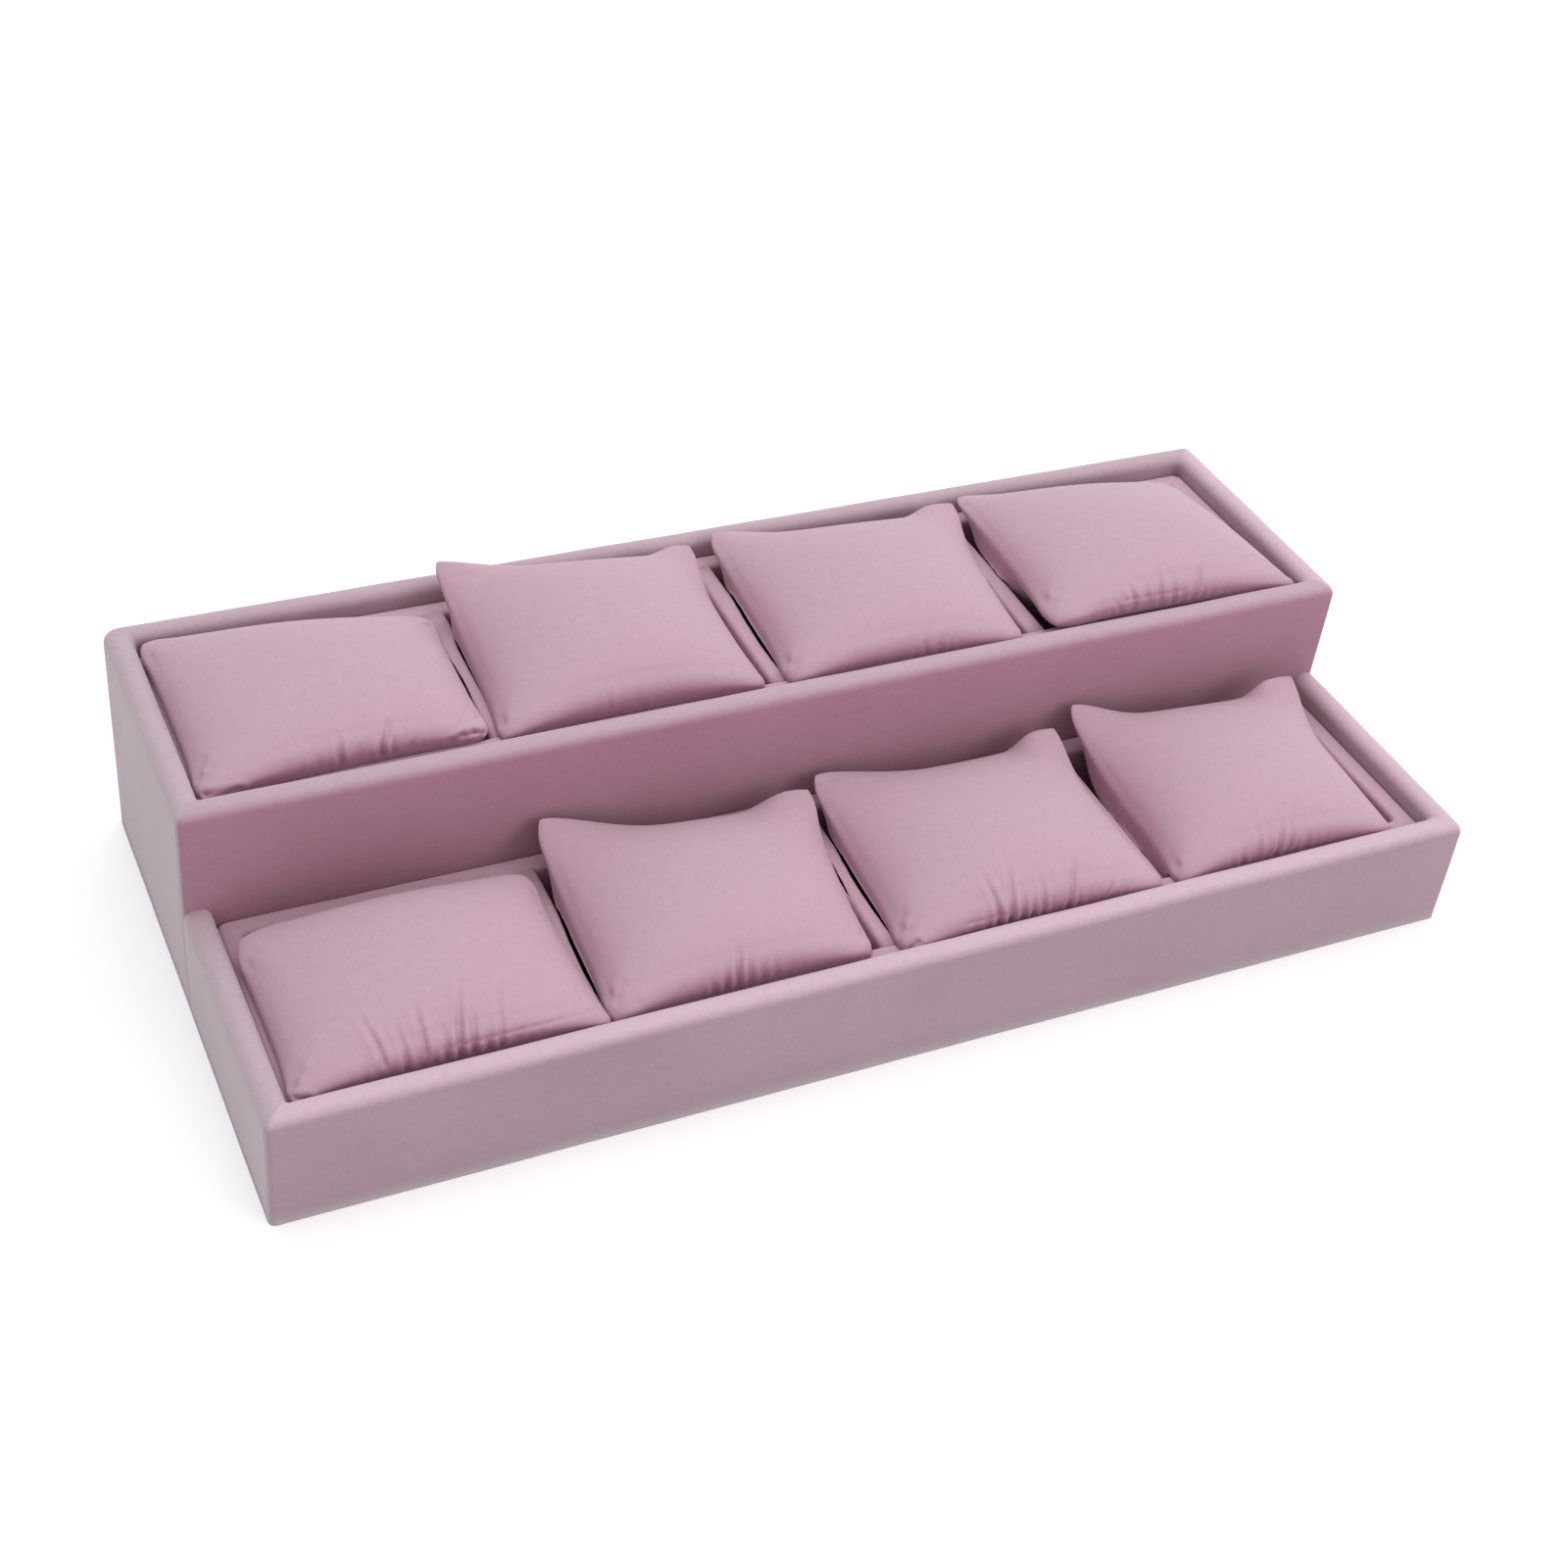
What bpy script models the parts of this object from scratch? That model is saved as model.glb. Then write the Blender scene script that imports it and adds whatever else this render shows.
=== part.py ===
"""Two-tier watch display tray: a stepped velvet-covered tray, a divided insert in
each tier and a stuffed pillow in each of its pockets.

Metres, +Z up. +X runs along the length and the low front faces -Y. The origin is
at the bottom centre of the tray.
"""

import math

import bmesh
import bpy
from mathutils import Matrix, Vector

MM = 0.001

# Pockets of the insert, from which the whole tray grows
POCKETS_PER_TIER = 4
POCKET_WIDTH = 91.0 * MM
POCKET_LENGTH = 69.1 * MM
STRIP_THICKNESS = 7.5 * MM
STRIP_HEIGHT = 29.0 * MM
STRIP_ROUNDING = 2.6 * MM
DIVIDER_SET_LEFT = 3.5 * MM      # glued in this far left of even spacing
INSERT_FLOOR_THICKNESS = 2.0 * MM

# Covered boards of the tray
WALL_THICKNESS = 9.0 * MM
RIM_OUTER_ROUNDING = 3.6 * MM
RIM_INNER_ROUNDING = 3.9 * MM
RIM_ABOVE_INSERT = 6.4 * MM
TIER_RISE = 37.7 * MM
DECK_THICKNESS = 3.0 * MM
BASE_COVER_THICKNESS = 1.5 * MM

# Pillows
PILLOW_OVER_STRIP_X = 1.1 * MM   # how far an even corner reaches past its pocket
PILLOW_OVER_STRIP_Y = 4.9 * MM
PILLOW_CROWN = 15.5 * MM         # fullness above the seam
CROWN_AT_SIDES = 0.42            # how bluntly the crown falls to each seam
CROWN_AT_FRONT = 0.4
CROWN_AT_BACK = 0.7
FRONT_SEAM_DRAWN_IN = 1.0 * MM
BACK_SEAM_DRAWN_IN = 3.0 * MM
BACK_SEAM_SAG = 0.42             # share of the back corners' rise
LIFTED_CORNER_CURVE = 4.5        # how quickly the side seams settle from a lifted corner
SEAM_OVER_STRIP = 0.8 * MM
CORNER_TO_WALL = 0.6 * MM
POCKET_TO_PILLOW = 0.6 * MM
UNDERSIDE_DRAWN_IN = 0.8         # share of its outline lost on the pocket's floor
UNDERSIDE_CURVE = 2.6
UNDERSIDE_REACHES_FLOOR = 0.74   # share of the rings that climb the pocket's wall
GATHER_DEPTH = 1.3 * MM
GATHER_PITCH = 11.0 * MM
GATHER_SPREAD = 20.0 * MM
GATHER_MIDDLE = -0.7             # from -1 at the front seam to 1 at the back
GATHER_REACH = 0.3
PILLOW_COLUMNS = 16
PILLOW_ROWS = 12
SEAM_CROWDING = math.radians(78)  # draws the grid lines together towards the seam

JOINT_GAP = 0.3 * MM
WELD = 0.00002
ROUNDING_STEPS = 3
SHARP_FROM = math.radians(40)
FACES_ALONG = 0.9                # of a unit normal, for a face that looks along an axis

# How far each pillow's corners are drawn from their even place, in mm: to the right,
# to the back and up, for the back left, back right, front right and front left
# corner. The last value is where its front seam is gathered, right of its middle.
PILLOW_LIE = {
    "upper_pillow_1": ((-5, 1, 4), (-1, -9, 1), (-2, 3, 1), (-5, 0, 0), 6),
    "upper_pillow_2": ((1, 1, 17), (-4, -8, 12), (-5, 1, 0), (-3, 1, 0), 0),
    "upper_pillow_3": ((3, 2, 9), (2, -8, 11), (-6, -3, 0), (-1, 0, 0), 12),
    "upper_pillow_4": ((3, -1, 8), (-5, -7, 3), (5, -2, 1), (0, -2, 4), -6),
    "lower_pillow_1": ((-2, -12, 5), (1, -11, 4), (3, -1, 0), (-4, -1, 0), -2),
    "lower_pillow_2": ((3, 0, 17), (3, -8, 11), (-6, 0, 0), (-1, -1, 0), 0),
    "lower_pillow_3": ((2, -2, 12), (0, -6, 13), (3, -2, 0), (-1, -3, 0), -1),
    "lower_pillow_4": ((4, -1, 18), (-5, -9, 16), (-7, -3, 0), (4, -1, 0), -5),
}

# Sizes that follow from the values above
DIVIDERS_PER_TIER = POCKETS_PER_TIER - 1
INSERT_LENGTH = POCKETS_PER_TIER * POCKET_WIDTH + (POCKETS_PER_TIER + 1) * STRIP_THICKNESS
INSERT_DEPTH = POCKET_LENGTH + 2 * STRIP_THICKNESS
WELL_LENGTH = INSERT_LENGTH + 2 * JOINT_GAP
WELL_DEPTH = INSERT_DEPTH + 2 * JOINT_GAP
TRAY_LENGTH = WELL_LENGTH + 2 * WALL_THICKNESS
TRAY_DEPTH = 2 * WELL_DEPTH + 3 * WALL_THICKNESS
STEP_DEPTH = WALL_THICKNESS + WELL_DEPTH
FRONT_Y = -TRAY_DEPTH / 2
TIER_FRONT = {"lower": FRONT_Y, "upper": FRONT_Y + STEP_DEPTH}
TIER_LIFT = {"lower": 0.0, "upper": TIER_RISE}

DECK_BOTTOM = BASE_COVER_THICKNESS + JOINT_GAP
INSERT_FLOOR_BOTTOM = DECK_BOTTOM + DECK_THICKNESS + JOINT_GAP
STRIP_BOTTOM = INSERT_FLOOR_BOTTOM + INSERT_FLOOR_THICKNESS + JOINT_GAP
STRIP_TOP = STRIP_BOTTOM + STRIP_HEIGHT
LOWER_RIM = STRIP_TOP + RIM_ABOVE_INSERT
UPPER_RIM = LOWER_RIM + TIER_RISE

MITRE_GAP = JOINT_GAP * math.sqrt(0.5)
CUT_MARGIN = 5 * MM

TRAY_NAME = "watch_display_tray"


def clear_scene():
    for old in list(bpy.data.objects):
        bpy.data.objects.remove(old, do_unlink=True)


def make_collection(name):
    collection = bpy.data.collections.new(name)
    bpy.context.scene.collection.children.link(collection)
    return collection


def make_material(name, colour, roughness, sheen):
    material = bpy.data.materials.new(name)
    material.use_nodes = True
    shader = material.node_tree.nodes["Principled BSDF"]
    shader.inputs["Base Color"].default_value = (*colour, 1.0)
    shader.inputs["Roughness"].default_value = roughness
    shader.inputs["Metallic"].default_value = 0.0
    shader.inputs["Sheen Weight"].default_value = sheen
    material.diffuse_color = (*colour, 1.0)
    return material


def make_object(name, bm, material, location=(0, 0, 0), turn=0.0):
    """Turn a bmesh into a named object of the tray, standing at its location."""
    mesh = bpy.data.meshes.new(name)
    bm.to_mesh(mesh)
    bm.free()
    mesh.shade_smooth()
    mesh.set_sharp_from_angle(angle=SHARP_FROM)
    mesh.materials.append(material)
    piece = bpy.data.objects.new(name, mesh)
    piece.location = location
    piece.rotation_euler.z = turn
    piece.parent = tray
    parts.objects.link(piece)
    return piece


def box(low, high):
    """A bmesh box between two corners."""
    bm = bmesh.new()
    bmesh.ops.create_cube(bm, size=1.0)
    low, high = Vector(low), Vector(high)
    bmesh.ops.scale(bm, vec=high - low, verts=bm.verts)
    bmesh.ops.translate(bm, vec=(low + high) / 2, verts=bm.verts)
    return bm


def extruded(outline, thickness):
    """A board whose outline, along and up, is extruded through its thickness."""
    bm = bmesh.new()
    face = bm.faces.new([bm.verts.new((along, 0.0, up)) for along, up in outline])
    grown = bmesh.ops.extrude_face_region(bm, geom=[face])
    moved = [v for v in grown["geom"] if isinstance(v, bmesh.types.BMVert)]
    bmesh.ops.translate(bm, vec=(0.0, thickness, 0.0), verts=moved)
    bmesh.ops.recalc_face_normals(bm, faces=bm.faces)
    return bm


def side_of(face):
    """Which side of a board a face is on: outer, inner, end, top or bottom."""
    normal = face.normal
    if abs(normal.y) > FACES_ALONG:
        return "outer" if normal.y < 0 else "inner"
    if abs(normal.z) > FACES_ALONG:
        return "top" if normal.z > 0 else "bottom"
    return "end"


def round_edges(bm, pairs, rounding, above=0.0):
    """Round the convex edges between the named pairs of sides."""
    bm.normal_update()
    chosen = []
    for edge in bm.edges:
        sides = {side_of(face) for face in edge.link_faces}
        height = (edge.verts[0].co.z + edge.verts[1].co.z) / 2
        if sides in pairs and edge.is_convex and height > above:
            chosen.append(edge)
    bmesh.ops.bevel(bm, geom=chosen, offset=rounding, segments=ROUNDING_STEPS,
                    profile=0.5, affect="EDGES", clamp_overlap=False)


def slice_off(bm, point, normal):
    """Cut away what lies beyond a plane and close the cut."""
    everything = list(bm.verts) + list(bm.edges) + list(bm.faces)
    bmesh.ops.bisect_plane(bm, geom=everything, dist=WELD / 10, plane_co=point,
                           plane_no=normal, clear_outer=True)
    rim = [edge for edge in bm.edges if edge.is_boundary]
    bmesh.ops.edgeloop_fill(bm, edges=rim)
    bmesh.ops.recalc_face_normals(bm, faces=bm.faces)


def mitre_ends(bm, length):
    slice_off(bm, (MITRE_GAP, 0, 0), Vector((-1, 1, 0)).normalized())
    slice_off(bm, (length - MITRE_GAP, 0, 0), Vector((1, 1, 0)).normalized())


OUTER_EDGES = ({"outer", "top"}, {"outer", "end"}, {"end", "top"})
INNER_EDGES = ({"inner", "top"},)


def straight_wall(name, length, bottom, top, thickness, outer, inner, material, place, turn):
    """A covered board with rounded top edges and mitred ends."""
    bm = extruded([(0, bottom), (length, bottom), (length, top), (0, top)], thickness)
    round_edges(bm, OUTER_EDGES, outer)
    round_edges(bm, INNER_EDGES, inner)
    mitre_ends(bm, length)
    return make_object(name, bm, material, place, turn)


def riser_wall(material):
    """The wall between the tiers. Its rim reaches over the side walls to the mitres."""
    end = WALL_THICKNESS + JOINT_GAP
    ledge = LOWER_RIM + JOINT_GAP
    outline = [(end, DECK_BOTTOM), (TRAY_LENGTH - end, DECK_BOTTOM),
               (TRAY_LENGTH - end, ledge), (TRAY_LENGTH, ledge),
               (TRAY_LENGTH, UPPER_RIM), (0, UPPER_RIM), (0, ledge), (end, ledge)]
    bm = extruded(outline, WALL_THICKNESS)
    round_edges(bm, OUTER_EDGES, RIM_OUTER_ROUNDING, above=ledge + JOINT_GAP)
    round_edges(bm, INNER_EDGES, RIM_INNER_ROUNDING, above=ledge + JOINT_GAP)
    mitre_ends(bm, TRAY_LENGTH)
    place = (-TRAY_LENGTH / 2, TIER_FRONT["upper"], 0)
    return make_object("riser_wall", bm, material, place)


def side_wall(name, mirrored, material):
    """A stepped side wall. The right one runs from the front to the back."""
    outline = [(0, 0), (TRAY_DEPTH, 0), (TRAY_DEPTH, UPPER_RIM), (STEP_DEPTH, UPPER_RIM),
               (STEP_DEPTH, LOWER_RIM), (0, LOWER_RIM)]
    bm = extruded(outline, WALL_THICKNESS)
    everything = list(bm.verts) + list(bm.edges) + list(bm.faces)
    bmesh.ops.bisect_plane(bm, geom=everything, dist=WELD / 10,
                           plane_co=(STEP_DEPTH, 0, 0), plane_no=(1, 0, 0))
    round_edges(bm, OUTER_EDGES, RIM_OUTER_ROUNDING)
    round_edges(bm, INNER_EDGES, RIM_INNER_ROUNDING)
    mitre_ends(bm, TRAY_DEPTH)
    if mirrored:
        bmesh.ops.transform(bm, matrix=Matrix.Scale(-1, 4, (1, 0, 0)), verts=bm.verts)
        bmesh.ops.reverse_faces(bm, faces=bm.faces)
    turn = math.radians(-90 if mirrored else 90)
    place = ((-1 if mirrored else 1) * TRAY_LENGTH / 2, FRONT_Y, 0)
    wall = make_object(name, bm, material, place, turn)
    cut_for_riser(wall, mirrored)
    return wall


def cut_for_riser(wall, mirrored):
    """Mitre the raised part of a side wall where the riser's rim meets it."""
    start = STEP_DEPTH + MITRE_GAP
    plan = [(STEP_DEPTH - CUT_MARGIN, -CUT_MARGIN), (start - CUT_MARGIN, -CUT_MARGIN),
            (start + WALL_THICKNESS + CUT_MARGIN, WALL_THICKNESS + CUT_MARGIN),
            (STEP_DEPTH - CUT_MARGIN, WALL_THICKNESS + CUT_MARGIN)]
    way = -1 if mirrored else 1
    bm = bmesh.new()
    face = bm.faces.new([bm.verts.new((way * x, y, LOWER_RIM)) for x, y in plan])
    grown = bmesh.ops.extrude_face_region(bm, geom=[face])
    moved = [v for v in grown["geom"] if isinstance(v, bmesh.types.BMVert)]
    bmesh.ops.translate(bm, vec=(0, 0, TIER_RISE + CUT_MARGIN), verts=moved)
    bmesh.ops.recalc_face_normals(bm, faces=bm.faces)
    mesh = bpy.data.meshes.new(wall.name + "_mitre")
    bm.to_mesh(mesh)
    bm.free()
    cutter = bpy.data.objects.new(wall.name + "_mitre", mesh)
    cutter.location = wall.location
    cutter.rotation_euler = wall.rotation_euler
    cutter.hide_render = True
    cutter.display_type = "WIRE"
    cutters.objects.link(cutter)
    cut = wall.modifiers.new("riser_mitre", "BOOLEAN")
    cut.operation = "DIFFERENCE"
    cut.solver = "EXACT"
    cut.object = cutter


def make_tray_walls(material):
    """Front, back, riser and the two stepped sides."""
    half = TRAY_LENGTH / 2
    straight_wall("front_wall", TRAY_LENGTH, 0, LOWER_RIM, WALL_THICKNESS,
                  RIM_OUTER_ROUNDING, RIM_INNER_ROUNDING, material, (-half, FRONT_Y, 0), 0)
    straight_wall("back_wall", TRAY_LENGTH, 0, UPPER_RIM, WALL_THICKNESS,
                  RIM_OUTER_ROUNDING, RIM_INNER_ROUNDING, material, (half, -FRONT_Y, 0),
                  math.pi)
    riser_wall(material)
    side_wall("left_side_wall", True, material)
    side_wall("right_side_wall", False, material)


def flat_board(name, front, back, bottom, thickness, material):
    """A plain board that fits between the side walls."""
    half = WELL_LENGTH / 2 - JOINT_GAP
    bm = box((-half, front + JOINT_GAP, bottom), (half, back - JOINT_GAP, bottom + thickness))
    return make_object(name, bm, material)


def make_decks(board, lining):
    """The boards that carry the inserts, and the cover under the whole tray."""
    for tier in ("lower", "upper"):
        front = TIER_FRONT[tier] + WALL_THICKNESS
        flat_board(tier + "_deck", front, front + WELL_DEPTH,
                   DECK_BOTTOM + TIER_LIFT[tier], DECK_THICKNESS, board)
    flat_board("base_cover", FRONT_Y + WALL_THICKNESS, -FRONT_Y - WALL_THICKNESS, 0,
               BASE_COVER_THICKNESS, lining)


def divider_centres():
    """Middles of the dividers along the tray."""
    pitch = POCKET_WIDTH + STRIP_THICKNESS
    first = -(DIVIDERS_PER_TIER - 1) / 2 * pitch
    return [first + k * pitch - DIVIDER_SET_LEFT for k in range(DIVIDERS_PER_TIER)]


def pocket_spans():
    """Left and right faces of each pocket along the tray."""
    half_strip = STRIP_THICKNESS / 2
    end = INSERT_LENGTH / 2 - STRIP_THICKNESS
    lefts = [-end] + [x + half_strip for x in divider_centres()]
    rights = [x - half_strip for x in divider_centres()] + [end]
    return list(zip(lefts, rights))


def make_insert(tier, strip_material, floor_material):
    """Floor board, rounded border strips and dividers of one tier's insert."""
    lift = TIER_LIFT[tier]
    front = TIER_FRONT[tier] + WALL_THICKNESS + JOINT_GAP
    back = front + INSERT_DEPTH
    half = INSERT_LENGTH / 2
    bottom, top = STRIP_BOTTOM + lift, STRIP_TOP + lift
    floor = box((-half, front, INSERT_FLOOR_BOTTOM + lift),
                (half, back, INSERT_FLOOR_BOTTOM + INSERT_FLOOR_THICKNESS + lift))
    make_object(tier + "_insert_floor", floor, floor_material)
    borders = (("front", INSERT_LENGTH, (-half, front, 0), 0),
               ("right", INSERT_DEPTH, (half, front, 0), math.pi / 2),
               ("back", INSERT_LENGTH, (half, back, 0), math.pi),
               ("left", INSERT_DEPTH, (-half, back, 0), -math.pi / 2))
    for side, length, place, turn in borders:
        straight_wall(f"{tier}_{side}_strip", length, bottom, top, STRIP_THICKNESS,
                      STRIP_ROUNDING, STRIP_ROUNDING, strip_material, place, turn)
    for number, x in enumerate(divider_centres(), start=1):
        make_divider(f"{tier}_divider_{number}", x, front, back, bottom, top, strip_material)


def make_divider(name, x, front, back, bottom, top, material):
    """A rounded strip across the insert, between its front and back borders."""
    inset = STRIP_THICKNESS + JOINT_GAP
    half = STRIP_THICKNESS / 2
    low = (x - half, front + inset, bottom)
    high = (x + half, back - inset, top)
    bm = box(low, high)
    crests = [e for e in bm.edges
              if min(v.co.z for v in e.verts) > top - WELD
              and abs(e.verts[0].co.x - e.verts[1].co.x) < WELD]
    bmesh.ops.bevel(bm, geom=crests, offset=STRIP_ROUNDING, segments=ROUNDING_STEPS,
                    profile=0.5, affect="EDGES", clamp_overlap=False)
    return make_object(name, bm, material)


def spread(step, steps):
    """Place of a grid line from -1 to 1, closer together towards the seam."""
    even = 2 * step / steps - 1
    return math.sin(even * SEAM_CROWDING) / math.sin(SEAM_CROWDING)


def blend(corners, u, v):
    """Point between the back left, back right, front right and front left corners."""
    back_left, back_right, front_right, front_left = corners
    back = back_left.lerp(back_right, (u + 1) / 2)
    front = front_left.lerp(front_right, (u + 1) / 2)
    return front.lerp(back, (v + 1) / 2)


def seam_point(corners, u, v):
    """Place of the sewn outline, or of the sheet that it spans.

    The side seams settle from a lifted back corner, and the back seam sags.
    """
    point = blend(corners, u, v)
    drawn_in = BACK_SEAM_DRAWN_IN if v > 0 else FRONT_SEAM_DRAWN_IN
    point.y -= drawn_in * (1 - u * u) * v ** 3
    front, back = blend(corners, u, -1).z, blend(corners, u, 1).z
    along = (v + 1) / 2
    settled = u * u * along ** LIFTED_CORNER_CURVE + (1 - u * u) * (1 - BACK_SEAM_SAG) * along
    point.z = front + (back - front) * settled
    return point


def gathers(x, u, v, middle):
    """Short pleats that run back from the gathered part of the front seam."""
    away = x - middle
    pleats = math.cos(2 * math.pi * away / GATHER_PITCH)
    near = math.exp(-(away / GATHER_SPREAD) ** 2)
    band = max(0.0, 1 - ((v - GATHER_MIDDLE) / GATHER_REACH) ** 2)
    return GATHER_DEPTH * pleats * near * band * (1 - u ** 6)


def top_point(corners, middle, u, v):
    point = seam_point(corners, u, v)
    fullness = ((1 - u * u) ** CROWN_AT_SIDES * (1 + v) ** CROWN_AT_FRONT
                * (1 - v) ** CROWN_AT_BACK)
    rise = PILLOW_CROWN * fullness + gathers(point.x - corners[3].x, u, v, middle)
    point.z += max(rise, 0.0)
    return point


def underside_point(corners, pocket, strip_top, floor_top, column, row):
    """Ring by ring: the seam, the pocket's mouth, its wall and its floor."""
    ring = min(column, PILLOW_COLUMNS - column, row, PILLOW_ROWS - row)
    if ring == 0:
        u, v = spread(column, PILLOW_COLUMNS), spread(row, PILLOW_ROWS)
        return seam_point(corners, u, v)
    wide, long = PILLOW_COLUMNS - 2 * ring, PILLOW_ROWS - 2 * ring
    across = 2 * (column - ring) / wide - 1 if wide else 0.0
    along = 2 * (row - ring) / long - 1 if long else 0.0
    rings = PILLOW_ROWS // 2
    sunk = (ring - 1) / (rings - 1)
    shrink = math.sqrt(1 - UNDERSIDE_DRAWN_IN * sunk ** UNDERSIDE_CURVE)
    depth = strip_top + SEAM_OVER_STRIP - (floor_top + JOINT_GAP)
    low, high = pocket
    centre = (low + high) / 2
    half = (high - low) / 2
    side = 1 if across > 0 else -1
    seam_reach = abs(blend(corners, side, along).x - centre.x)
    reach_x, reach_y = min(half.x - POCKET_TO_PILLOW, seam_reach), half.y - POCKET_TO_PILLOW
    drop = math.sqrt(1 - (1 - min(1.0, sunk / UNDERSIDE_REACHES_FLOOR)) ** 2)
    return Vector((centre.x + reach_x * shrink * across, centre.y + reach_y * shrink * along,
                   strip_top + SEAM_OVER_STRIP - depth * drop))


def pillow_corners(lie, pocket, strip_top, walls):
    """The four sewn corners, kept clear of the tray's walls."""
    low, high = pocket
    wall_low, wall_high = walls
    even = ((low.x - PILLOW_OVER_STRIP_X, high.y + PILLOW_OVER_STRIP_Y),
            (high.x + PILLOW_OVER_STRIP_X, high.y + PILLOW_OVER_STRIP_Y),
            (high.x + PILLOW_OVER_STRIP_X, low.y - PILLOW_OVER_STRIP_Y),
            (low.x - PILLOW_OVER_STRIP_X, low.y - PILLOW_OVER_STRIP_Y))
    corners = []
    for (x, y), (right, back, up) in zip(even, lie):
        x = min(max(x + right * MM, wall_low.x + CORNER_TO_WALL), wall_high.x - CORNER_TO_WALL)
        y = min(max(y + back * MM, wall_low.y + CORNER_TO_WALL), wall_high.y - CORNER_TO_WALL)
        corners.append(Vector((x, y, strip_top + SEAM_OVER_STRIP + up * MM)))
    return corners


def sheet(bm, place, faces_down):
    """A grid of the pillow's columns and rows with each point put in its place."""
    grid = bmesh.ops.create_grid(bm, x_segments=PILLOW_COLUMNS, y_segments=PILLOW_ROWS, size=1)
    if faces_down:
        bmesh.ops.reverse_faces(bm, faces=list({f for v in grid["verts"] for f in v.link_faces}))
    for vert in grid["verts"]:
        column = round((vert.co.x + 1) / 2 * PILLOW_COLUMNS)
        row = round((vert.co.y + 1) / 2 * PILLOW_ROWS)
        vert.co = place(column, row)


def make_pillow(name, tier, span, material):
    """A stuffed pillow: crowned on top, sunk into its pocket below."""
    lift = TIER_LIFT[tier]
    front = TIER_FRONT[tier] + WALL_THICKNESS
    pocket_front = front + JOINT_GAP + STRIP_THICKNESS
    pocket = (Vector((span[0], pocket_front, 0)),
              Vector((span[1], pocket_front + POCKET_LENGTH, 0)))
    walls = (Vector((-WELL_LENGTH / 2, front, 0)), Vector((WELL_LENGTH / 2, front + WELL_DEPTH, 0)))
    strip_top = STRIP_TOP + lift
    floor_top = INSERT_FLOOR_BOTTOM + INSERT_FLOOR_THICKNESS + lift
    *lie, gather_at = PILLOW_LIE[name]
    corners = pillow_corners(lie, pocket, strip_top, walls)
    middle = (corners[2].x - corners[3].x) / 2 + gather_at * MM

    def on_top(column, row):
        u, v = spread(column, PILLOW_COLUMNS), spread(row, PILLOW_ROWS)
        return top_point(corners, middle, u, v)

    def below(column, row):
        return underside_point(corners, pocket, strip_top, floor_top, column, row)

    bm = bmesh.new()
    sheet(bm, on_top, faces_down=False)
    sheet(bm, below, faces_down=True)
    bmesh.ops.remove_doubles(bm, verts=bm.verts, dist=WELD)
    return make_object(name, bm, material)


def make_pillows(material):
    for tier in ("lower", "upper"):
        for number, span in enumerate(pocket_spans(), start=1):
            make_pillow(f"{tier}_pillow_{number}", tier, span, material)


clear_scene()
parts = make_collection(TRAY_NAME)
cutters = make_collection(TRAY_NAME + "_cutters")
tray = bpy.data.objects.new(TRAY_NAME, None)
parts.objects.link(tray)

wall_velvet = make_material("wall_velvet", (0.42, 0.28, 0.34), 0.85, 0.5)
insert_velvet = make_material("insert_velvet", (0.42, 0.27, 0.33), 0.85, 0.5)
pillow_velvet = make_material("pillow_velvet", (0.55, 0.34, 0.43), 0.8, 0.6)
deck_board = make_material("deck_board", (0.45, 0.34, 0.24), 0.8, 0.0)
base_felt = make_material("base_felt", (0.30, 0.22, 0.26), 0.95, 0.2)

make_tray_walls(wall_velvet)
make_decks(deck_board, base_felt)
for tier_name in ("lower", "upper"):
    make_insert(tier_name, insert_velvet, insert_velvet)
make_pillows(pillow_velvet)
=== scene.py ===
"""Looks of the two-tier velvet watch display tray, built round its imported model.

Metres, +Z up, +X along the tray, the low front towards -Y. The velvet over the walls
and the strips is made again with soft corners, and each pillow is a stuffed cloth case
that lies where its solid does. Decks, insert floors and the base keep their solids.
"""

import math

import bmesh
import bpy
import numpy as np
from mathutils import Matrix, Vector, noise


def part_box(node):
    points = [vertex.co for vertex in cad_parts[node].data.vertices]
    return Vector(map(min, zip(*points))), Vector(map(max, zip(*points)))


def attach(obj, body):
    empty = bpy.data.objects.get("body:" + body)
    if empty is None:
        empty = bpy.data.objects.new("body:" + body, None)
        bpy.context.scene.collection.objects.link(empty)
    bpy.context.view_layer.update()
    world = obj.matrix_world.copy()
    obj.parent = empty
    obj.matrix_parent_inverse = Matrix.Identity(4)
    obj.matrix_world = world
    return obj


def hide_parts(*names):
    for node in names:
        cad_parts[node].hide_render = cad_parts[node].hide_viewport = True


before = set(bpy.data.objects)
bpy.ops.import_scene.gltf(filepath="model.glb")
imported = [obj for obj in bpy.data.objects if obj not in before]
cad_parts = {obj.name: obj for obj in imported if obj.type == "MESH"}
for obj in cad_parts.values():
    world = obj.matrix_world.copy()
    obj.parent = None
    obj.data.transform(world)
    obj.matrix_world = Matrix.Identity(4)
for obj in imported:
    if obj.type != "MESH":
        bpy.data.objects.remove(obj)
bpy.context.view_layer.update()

MM = 0.001
BODY = "root"

# Camera of the photograph, found from the tray's straight edges
CAMERA_AZIMUTH = math.radians(-28.64)
CAMERA_ELEVATION = math.radians(38.73)
CAMERA_ROLL = math.radians(6.76)
CAMERA_EYE_FROM_FRONT = Vector((-0.3117, -0.4643, 0.5527))
CAMERA_LENS = 55.4
CAMERA_SENSOR = 36.0
CAMERA_CLIP_START = 0.01

# Light: a white room, and softboxes with their place, target, size and power
ROOM_LIGHT = 0.75
SOFTBOXES = {
    "softbox_above": ((0.3, 0.7, 1.7), (0, 0, 0), 1.6, 10),
    "softbox_right": ((1.3, -1.5, 0.9), (0, 0, 0.03), 1.2, 12),
}
WHITE = (1.0, 1.0, 1.0, 1.0)

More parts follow.
